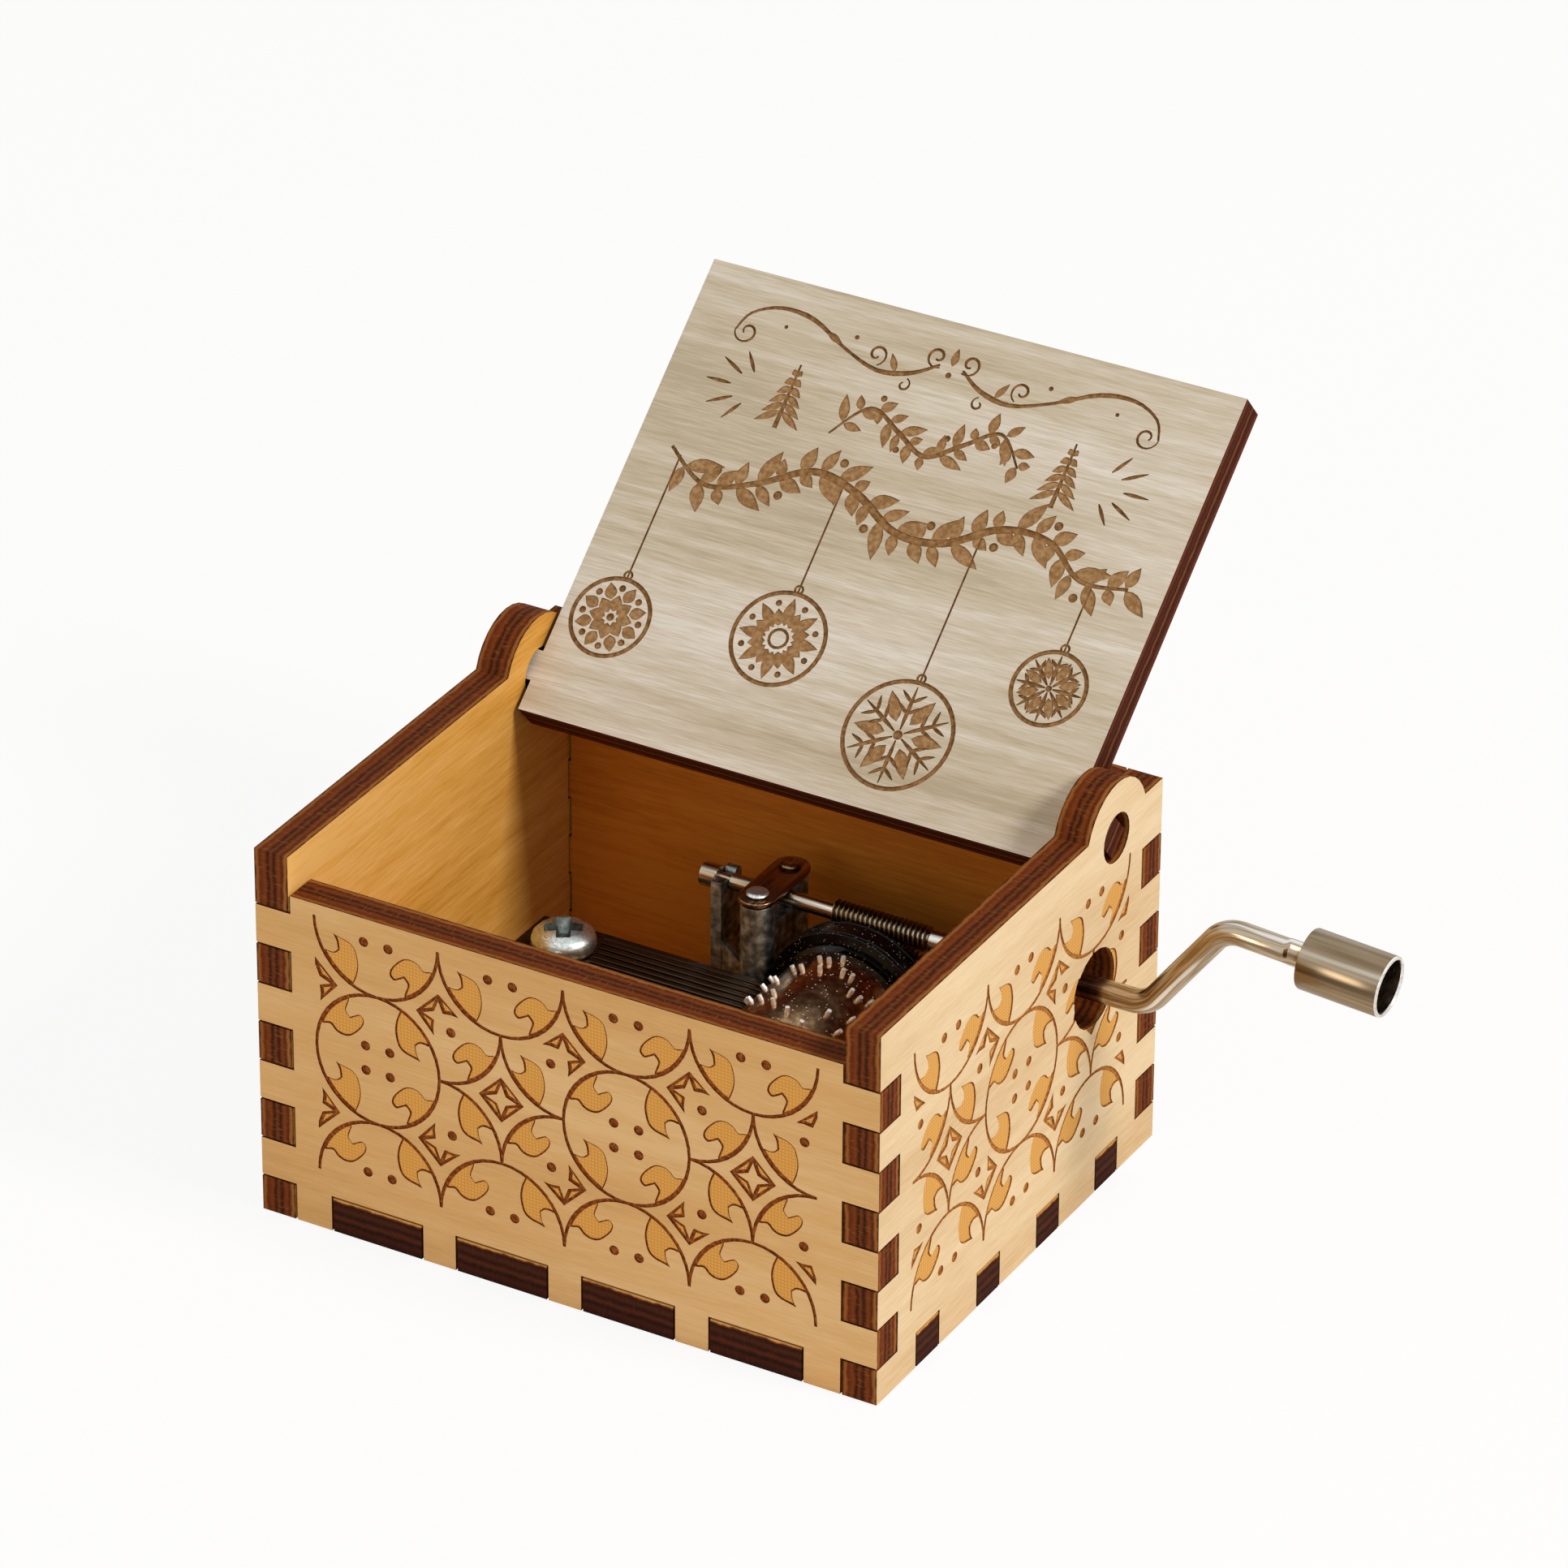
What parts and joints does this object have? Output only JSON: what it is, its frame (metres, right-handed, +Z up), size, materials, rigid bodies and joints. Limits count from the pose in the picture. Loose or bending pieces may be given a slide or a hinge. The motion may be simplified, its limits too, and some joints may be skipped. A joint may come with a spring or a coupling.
{
  "type": "hand-cranked music box",
  "caption": "Finger-jointed plywood box with a hinged lid and open worm-driven comb movement, turned by a bent steel crank with a loose grip.",
  "frame": {"origin": "middle of the floor panel's underside, where the box rests", "axes": "+X towards the crank handle, +Y towards the back panel and the lid's hinge, +Z up"},
  "size_m": [0.0935, 0.0768, 0.0654],
  "materials": {
    "birch_plywood": "sanded bare birch plywood, laser-cut edges burnt dark brown",
    "pale_basswood_plywood": "bare pale plywood with faint grey-tan grain",
    "cast_zinc": "die-cast zinc, dull satin",
    "hardened_comb_steel": "hardened spring steel, ground",
    "nickel_plated_steel": "nickel plated, drawn along its length",
    "zinc_plated_steel": "bright zinc plated",
    "nickel_plated_brass": "thin nickel plate over brass, turned",
    "black_acetal": "moulded black acetal, satin"
  },
  "bodies": {
    "case": {"bottom_panel": "birch_plywood", "front_panel": "birch_plywood", "back_panel": "birch_plywood", "left_side_panel": "birch_plywood", "right_side_panel": "birch_plywood", "movement_frame": "cast_zinc", "keeper_plate": "nickel_plated_steel", "keeper_rivet_front": "zinc_plated_steel", "keeper_rivet_rear": "zinc_plated_steel", "comb": "hardened_comb_steel", "comb_screw_front": "zinc_plated_steel", "comb_screw_rear": "zinc_plated_steel", "base_screw_left": "zinc_plated_steel", "base_screw_right": "zinc_plated_steel"},
    "lid": {"lid": "pale_basswood_plywood"},
    "cylinder": {"cylinder_barrel": "nickel_plated_brass", "cylinder_gear": "black_acetal", "cylinder_front_cap": "black_acetal", "cylinder_arbor": "nickel_plated_steel"},
    "crank": {"crank_shaft": "nickel_plated_steel"},
    "grip": {"crank_grip": "nickel_plated_steel"}
  },
  "joints": [
    {"name": "lid_hinge", "type": "hinge", "parent": "case", "child": "lid", "pos_m": [0, 0.0172, 0.03615], "axis": [1, 0, 0], "range_deg": [0, 139.3]},
    {"name": "crank_spin", "type": "hinge", "parent": "case", "child": "crank", "pos_m": [0.03, 0.0137, 0.0222], "axis": [1, 0, 0], "continuous": true},
    {"name": "grip_spin", "type": "hinge", "parent": "crank", "child": "grip", "pos_m": [0.045, 0.0137, 0.0324], "axis": [0.9976, 0, -0.0698], "continuous": true},
    {"name": "cylinder_spin", "type": "hinge", "parent": "case", "child": "cylinder", "pos_m": [0.0088, 0, 0.01429], "axis": [0, 1, 0], "continuous": true}
  ],
  "couplings": [
    {"joint": "cylinder_spin", "follows": "crank_spin", "ratio": -0.011765}
  ]
}
